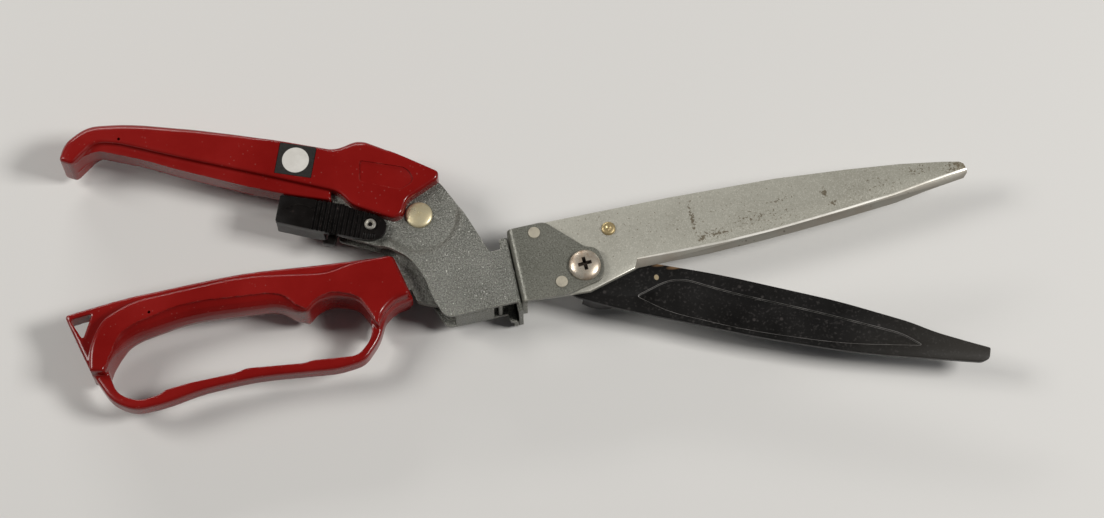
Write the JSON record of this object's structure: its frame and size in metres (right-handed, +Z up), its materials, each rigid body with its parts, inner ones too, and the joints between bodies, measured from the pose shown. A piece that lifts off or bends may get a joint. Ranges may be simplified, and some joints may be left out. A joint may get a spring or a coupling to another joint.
{
  "type": "grass shears",
  "caption": "Single-hand grass shears with red moulded grips, a finger loop, a sliding latch and a swivelling head that carries a fixed steel blade over a coated moving blade",
  "frame": {"origin": "bottom centre of the whole object's box, as it lies flat with the handles open", "axes": "+X along the swivel axis from the handles to the blade tips, +Y towards the fixed upper grip, +Z up, out of the side with the pivot screw's head"},
  "size_m": [0.3276, 0.1524, 0.0234],
  "materials": {
    "red_plastic": "glossy deep red PVC, moulded over the steel core",
    "black_plastic": "satin black moulded plastic",
    "grey_paint": "grey hammertone paint on pressed steel",
    "head_paint": "smooth darker grey paint on pressed steel",
    "blade_paint": "silver-grey paint on blade steel, with rust stains and worn edges",
    "black_coating": "black non-stick coating on blade steel, bare and rusty at chips",
    "plated_steel": "yellowed zinc plating",
    "spring_steel": "drawn spring wire",
    "brass": "dull brass",
    "label": "printed film, black square with a pale disc"
  },
  "bodies": {
    "frame": {"near_plate": "grey_paint", "far_plate": "grey_paint", "upper_grip": "red_plastic", "grip_label": "label", "main_rivet": "plated_steel", "near_pivot_washer": "plated_steel", "far_pivot_washer": "plated_steel", "swivel_bush": "plated_steel", "swivel_washer": "plated_steel"},
    "lower_handle": {"lower_grip": "red_plastic", "handle_tang": "grey_paint", "clevis_pin": "plated_steel"},
    "rod": {"pull_rod": "plated_steel", "rod_clip": "plated_steel"},
    "latch_slider": {"latch": "black_plastic", "latch_eyelet": "plated_steel"},
    "blade_head": {"head_bracket": "head_paint", "upper_blade": "blade_paint", "bracket_rivet_1": "plated_steel", "bracket_rivet_2": "plated_steel", "blade_rivet": "brass", "pivot_screw": "plated_steel", "pivot_bush": "plated_steel", "pivot_washer": "plated_steel", "pivot_nut": "plated_steel", "return_spring": "spring_steel"},
    "yoke_slider": {"yoke": "plated_steel"},
    "moving_blade": {"lower_blade": "black_coating", "drive_pin": "plated_steel", "spring_hub": "black_plastic"}
  },
  "joints": [
    {"name": "handle_squeeze", "type": "hinge", "parent": "frame", "child": "lower_handle", "pos_m": [-0.03312, 0.01871, 0.0135], "axis": [0, 0, -1], "range_deg": [0, 15], "stiffness_Nm_per_rad": 1.5, "springref_deg": -11.46},
    {"name": "rod_pull", "type": "slide", "parent": "frame", "child": "rod", "axis": [-1, 0, 0], "range_m": [0, 0.0078]},
    {"name": "latch_slide", "type": "slide", "parent": "frame", "child": "latch_slider", "axis": [-0.9336, 0.3584, 0], "range_m": [0, 0.004]},
    {"name": "head_swivel", "type": "hinge", "parent": "frame", "child": "blade_head", "pos_m": [-0.00382, -0.01089, 0.0135], "axis": [1, 0, 0], "range_deg": [-90, 90]},
    {"name": "yoke_pull", "type": "slide", "parent": "blade_head", "child": "yoke_slider", "axis": [-1, 0, 0], "range_m": [0, 0.0078]},
    {"name": "blade_close", "type": "hinge", "parent": "blade_head", "child": "moving_blade", "pos_m": [0.02098, -0.01369, 0.0135], "axis": [0, 0, 1], "range_deg": [0, 28.1]}
  ],
  "couplings": [
    {"joint": "rod_pull", "follows": "handle_squeeze", "m_per_rad": 0.029642},
    {"joint": "yoke_pull", "follows": "handle_squeeze", "m_per_rad": 0.029642},
    {"joint": "blade_close", "follows": "handle_squeeze", "ratio": 1.8667}
  ]
}
